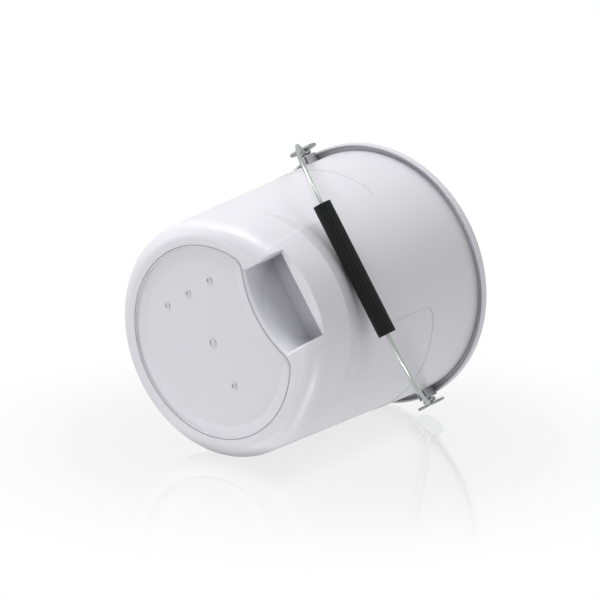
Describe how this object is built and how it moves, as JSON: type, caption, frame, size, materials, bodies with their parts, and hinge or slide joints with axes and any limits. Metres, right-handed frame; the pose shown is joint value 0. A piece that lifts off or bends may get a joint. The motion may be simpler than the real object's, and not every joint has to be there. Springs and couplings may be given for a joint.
{
  "type": "fermenting bucket",
  "caption": "Food-grade white plastic fermenting bucket with a turned-down rim, a wire bail on pivot pins, a fluted black grip and a hand pocket in the foot for pouring.",
  "frame": {"origin": "centre of the foot, on the surface the bucket stands on", "axes": "+Z from the foot to the mouth; +X along the bail's hinge axis, towards the right pivot pin; -Y is the side with the hand pocket, where the bail hangs at rest"},
  "size_m": [0.3, 0.2825, 0.27],
  "materials": {
    "white_plastic": "translucent white polypropylene, satin",
    "plated_pin": "dull zinc plate",
    "plated_wire": "bright zinc plate",
    "black_plastic": "moulded black plastic with a soft shine"
  },
  "bodies": {
    "tub_body": {"tub": "white_plastic", "left_pivot_pin": "plated_pin", "right_pivot_pin": "plated_pin"},
    "bail": {"bail_wire": "plated_wire"},
    "grip": {"bail_grip": "black_plastic"}
  },
  "joints": [
    {"name": "bail_swing", "type": "hinge", "parent": "tub_body", "child": "bail", "pos_m": [0, 0, 0.255], "axis": [-1, 0, 0], "range_deg": [0, 286]},
    {"name": "grip_spin", "type": "hinge", "parent": "bail", "child": "grip", "pos_m": [0, -0.13373, 0.07905], "axis": [1, 0, 0], "continuous": true}
  ]
}
